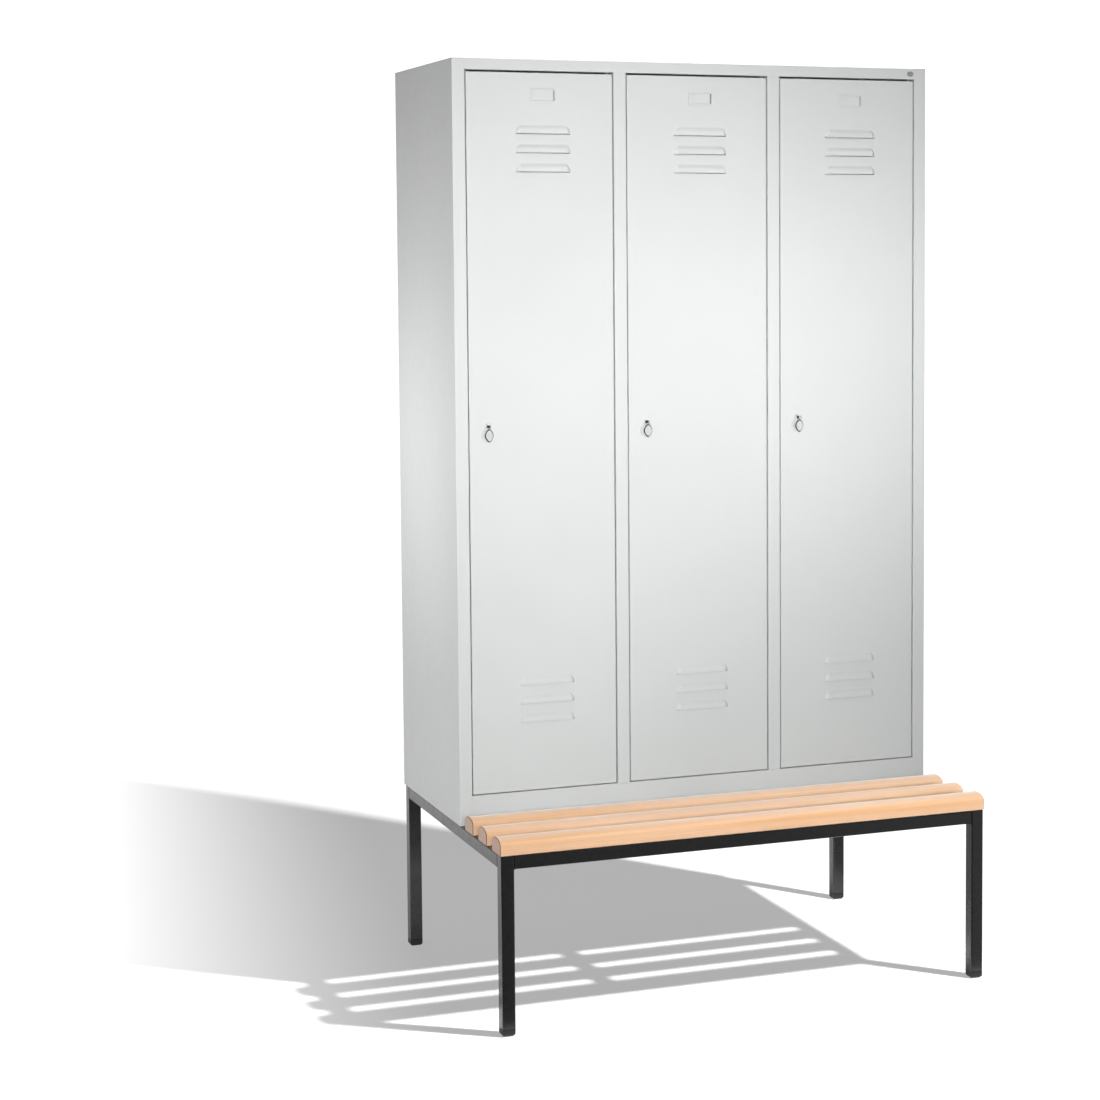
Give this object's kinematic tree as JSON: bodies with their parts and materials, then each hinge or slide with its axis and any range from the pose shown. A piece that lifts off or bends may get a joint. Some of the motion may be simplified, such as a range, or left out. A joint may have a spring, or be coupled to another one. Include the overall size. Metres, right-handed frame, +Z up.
{
  "type": "locker with bench",
  "caption": "Steel cloakroom locker with hinged louvred doors, standing on a tube base that carries a slatted wooden bench in front.",
  "frame": {"origin": "on the floor, under the middle of the whole footprint (bench and locker)", "axes": "+X to the right seen from the front, +Y to the back, +Z up"},
  "size_m": [1.17, 0.782, 2.115],
  "materials": {
    "locker_paint": "satin light grey powder coat",
    "frame_paint": "satin black-grey powder coat",
    "foot_plastic": "matt black plastic",
    "slat_wood": "clear-lacquered beech",
    "rail_steel": "zinc-plated tube",
    "zinc_steel": "zinc plated",
    "latch_metal": "nickel-plated casting",
    "hook_plastic": "grey moulded plastic",
    "badge_metal": "plain satin plate, no text"
  },
  "bodies": {
    "cabinet_and_frame": {"leg_front_left": "frame_paint", "leg_front_right": "frame_paint", "leg_back_left": "frame_paint", "leg_back_right": "frame_paint", "rail_front": "frame_paint", "rail_back": "frame_paint", "rail_left": "frame_paint", "rail_right": "frame_paint", "rail_middle": "frame_paint", "foot_cap_front_left": "foot_plastic", "foot_cap_front_right": "foot_plastic", "foot_cap_back_left": "foot_plastic", "foot_cap_back_right": "foot_plastic", "slat_front": "slat_wood", "slat_middle": "slat_wood", "slat_rear": "slat_wood", "side_left": "locker_paint", "side_right": "locker_paint", "partition_left": "locker_paint", "partition_right": "locker_paint", "back_panel": "locker_paint", "roof_panel": "locker_paint", "floor_panel": "locker_paint", "hat_shelf_1": "locker_paint", "hat_shelf_2": "locker_paint", "hat_shelf_3": "locker_paint", "coat_rail_1": "rail_steel", "coat_rail_2": "rail_steel", "coat_rail_3": "rail_steel", "hinge_pin_upper_1": "zinc_steel", "hinge_pin_lower_1": "zinc_steel", "hinge_pin_upper_2": "zinc_steel", "hinge_pin_lower_2": "zinc_steel", "hinge_pin_upper_3": "zinc_steel", "hinge_pin_lower_3": "zinc_steel", "badge_blank": "badge_metal"},
    "door_1_body": {"door_1": "locker_paint", "door_stiffener_1": "locker_paint", "latch_rosette_1": "latch_metal"},
    "latch_1_body": {"latch_knob_1": "latch_metal", "latch_cam_1": "zinc_steel"},
    "hook_1_1_body": {"hook_1_1": "hook_plastic"},
    "hook_1_2_body": {"hook_1_2": "hook_plastic"},
    "hook_1_3_body": {"hook_1_3": "hook_plastic"},
    "door_2_body": {"door_2": "locker_paint", "door_stiffener_2": "locker_paint", "latch_rosette_2": "latch_metal"},
    "latch_2_body": {"latch_knob_2": "latch_metal", "latch_cam_2": "zinc_steel"},
    "hook_2_1_body": {"hook_2_1": "hook_plastic"},
    "hook_2_2_body": {"hook_2_2": "hook_plastic"},
    "hook_2_3_body": {"hook_2_3": "hook_plastic"},
    "door_3_body": {"door_3": "locker_paint", "door_stiffener_3": "locker_paint", "latch_rosette_3": "latch_metal"},
    "latch_3_body": {"latch_knob_3": "latch_metal", "latch_cam_3": "zinc_steel"},
    "hook_3_1_body": {"hook_3_1": "hook_plastic"},
    "hook_3_2_body": {"hook_3_2": "hook_plastic"},
    "hook_3_3_body": {"hook_3_3": "hook_plastic"}
  },
  "joints": [
    {"name": "door_1_hinge", "type": "hinge", "parent": "cabinet_and_frame", "child": "door_1_body", "pos_m": [-0.2185, -0.081, 0.4655], "axis": [0, 0, 1], "range_deg": [0, 105]},
    {"name": "latch_1_turn", "type": "hinge", "parent": "door_1_body", "child": "latch_1_body", "pos_m": [-0.5105, -0.089, 1.277], "axis": [0, 1, 0], "range_deg": [0, 90]},
    {"name": "hook_1_1_slide", "type": "slide", "parent": "cabinet_and_frame", "child": "hook_1_1_body", "axis": [1, 0, 0], "range_m": [-0.08, 0.045]},
    {"name": "hook_1_2_slide", "type": "slide", "parent": "cabinet_and_frame", "child": "hook_1_2_body", "axis": [1, 0, 0], "range_m": [-0.045, 0.045]},
    {"name": "hook_1_3_slide", "type": "slide", "parent": "cabinet_and_frame", "child": "hook_1_3_body", "axis": [1, 0, 0], "range_m": [-0.045, 0.08]},
    {"name": "door_2_hinge", "type": "hinge", "parent": "cabinet_and_frame", "child": "door_2_body", "pos_m": [0.1615, -0.081, 0.4655], "axis": [0, 0, 1], "range_deg": [0, 105]},
    {"name": "latch_2_turn", "type": "hinge", "parent": "door_2_body", "child": "latch_2_body", "pos_m": [-0.1305, -0.089, 1.277], "axis": [0, 1, 0], "range_deg": [0, 90]},
    {"name": "hook_2_1_slide", "type": "slide", "parent": "cabinet_and_frame", "child": "hook_2_1_body", "axis": [1, 0, 0], "range_m": [-0.08, 0.045]},
    {"name": "hook_2_2_slide", "type": "slide", "parent": "cabinet_and_frame", "child": "hook_2_2_body", "axis": [1, 0, 0], "range_m": [-0.045, 0.045]},
    {"name": "hook_2_3_slide", "type": "slide", "parent": "cabinet_and_frame", "child": "hook_2_3_body", "axis": [1, 0, 0], "range_m": [-0.045, 0.08]},
    {"name": "door_3_hinge", "type": "hinge", "parent": "cabinet_and_frame", "child": "door_3_body", "pos_m": [0.5415, -0.081, 0.4655], "axis": [0, 0, 1], "range_deg": [0, 105]},
    {"name": "latch_3_turn", "type": "hinge", "parent": "door_3_body", "child": "latch_3_body", "pos_m": [0.2495, -0.089, 1.277], "axis": [0, 1, 0], "range_deg": [0, 90]},
    {"name": "hook_3_1_slide", "type": "slide", "parent": "cabinet_and_frame", "child": "hook_3_1_body", "axis": [1, 0, 0], "range_m": [-0.08, 0.045]},
    {"name": "hook_3_2_slide", "type": "slide", "parent": "cabinet_and_frame", "child": "hook_3_2_body", "axis": [1, 0, 0], "range_m": [-0.045, 0.045]},
    {"name": "hook_3_3_slide", "type": "slide", "parent": "cabinet_and_frame", "child": "hook_3_3_body", "axis": [1, 0, 0], "range_m": [-0.045, 0.08]}
  ]
}
